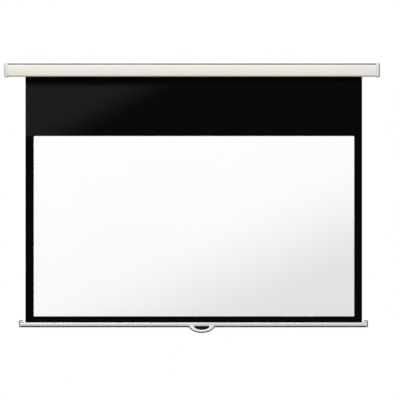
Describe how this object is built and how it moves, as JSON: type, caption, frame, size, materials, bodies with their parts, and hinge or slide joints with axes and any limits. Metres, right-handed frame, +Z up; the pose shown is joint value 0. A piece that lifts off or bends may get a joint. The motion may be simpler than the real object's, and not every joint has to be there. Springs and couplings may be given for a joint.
{
  "type": "pull down projector screen",
  "caption": "Wall-hung pull-down projection screen: a spring roller in a slim white case, a black-bordered matt white cloth and a weighted bottom slat with a finger handle.",
  "frame": {"origin": "on the case's flat back face, half way along the case's extrusion and level with the roller's axis", "axes": "+X along the case to the right as seen from the front, +Y out of the back towards the wall, +Z up; the cloth hangs down along -Z"},
  "size_m": [2.39, 0.0845, 1.718],
  "materials": {
    "coated_white": "satin warm white powder coat on extruded aluminium",
    "moulded_white": "fine-grained warm white moulded plastic",
    "grey_rail": "grey mill finish with fine lines along the extrusion",
    "plated_steel": "bright zinc plate",
    "tube_steel": "galvanised tube",
    "spring_steel": "oiled spring wire",
    "dark_plastic": "near-black moulded plastic",
    "natural_nylon": "natural nylon",
    "rubber": "matt dark rubber",
    "black_cloth": "black coated screen cloth with a faint sheen",
    "matt_white": "matt white projection coating",
    "satin_slat": "satin light grey coat"
  },
  "bodies": {
    "screen_case": {"case": "coated_white", "top_rail": "grey_rail", "rail_rivet_1": "plated_steel", "rail_rivet_2": "plated_steel", "rail_rivet_3": "plated_steel", "rail_rivet_4": "plated_steel", "left_end_cap": "moulded_white", "right_end_cap": "moulded_white", "left_end_plate": "plated_steel", "right_end_plate": "plated_steel", "left_plate_screw_1": "plated_steel", "left_plate_screw_2": "plated_steel", "left_plate_screw_3": "plated_steel", "left_plate_screw_4": "plated_steel", "right_plate_screw_1": "plated_steel", "right_plate_screw_2": "plated_steel", "right_plate_screw_3": "plated_steel", "right_plate_screw_4": "plated_steel", "left_cap_screw_upper": "plated_steel", "left_cap_screw_lower": "plated_steel", "right_cap_screw_upper": "plated_steel", "right_cap_screw_lower": "plated_steel", "left_wall_bracket": "plated_steel", "right_wall_bracket": "plated_steel", "left_lock_screw": "plated_steel", "right_lock_screw": "plated_steel", "ratchet_spindle": "plated_steel", "spring_arbor": "plated_steel", "torsion_spring": "spring_steel", "idle_pin": "plated_steel", "screen_cloth": "black_cloth", "viewing_surface": "matt_white"},
    "roller": {"roller_tube": "tube_steel", "ratchet_housing": "dark_plastic", "pawl_pin_a": "plated_steel", "pawl_pin_b": "plated_steel", "spring_anchor_plug": "dark_plastic", "idle_plug": "dark_plastic", "idle_bush": "natural_nylon", "fabric_roll": "black_cloth"},
    "first_pawl": {"pawl_a": "plated_steel"},
    "second_pawl": {"pawl_b": "plated_steel"},
    "bottom_bar": {"hem_pocket": "black_cloth", "hem_rod": "plated_steel", "slat_bar": "satin_slat", "left_slat_trim": "dark_plastic", "right_slat_trim": "dark_plastic", "left_slat_end": "moulded_white", "right_slat_end": "moulded_white", "left_slat_bumper": "rubber", "right_slat_bumper": "rubber", "left_slat_end_screw": "plated_steel", "right_slat_end_screw": "plated_steel", "handle": "moulded_white", "handle_cup": "dark_plastic", "left_handle_screw": "plated_steel", "right_handle_screw": "plated_steel"}
  },
  "joints": [
    {"name": "screen_travel", "type": "slide", "parent": "screen_case", "child": "bottom_bar", "axis": [0, 0, 1], "range_m": [0, 1.5484], "deforming": ["screen_cloth", "viewing_surface"]},
    {"name": "roller_spin", "type": "hinge", "parent": "screen_case", "child": "roller", "pos_m": [0, -0.0435, 0], "axis": [1, 0, 0], "range_deg": [0, 3385]},
    {"name": "pawl_a_swing", "type": "hinge", "parent": "roller", "child": "first_pawl", "pos_m": [-1.14, -0.0435, 0.0123], "axis": [-1, 0, 0], "range_deg": [0, 25]},
    {"name": "pawl_b_swing", "type": "hinge", "parent": "roller", "child": "second_pawl", "pos_m": [-1.14, -0.0435, -0.0123], "axis": [-1, 0, 0], "range_deg": [0, 25]}
  ],
  "couplings": [
    {"joint": "roller_spin", "follows": "screen_travel", "rad_per_m": 38.14}
  ]
}
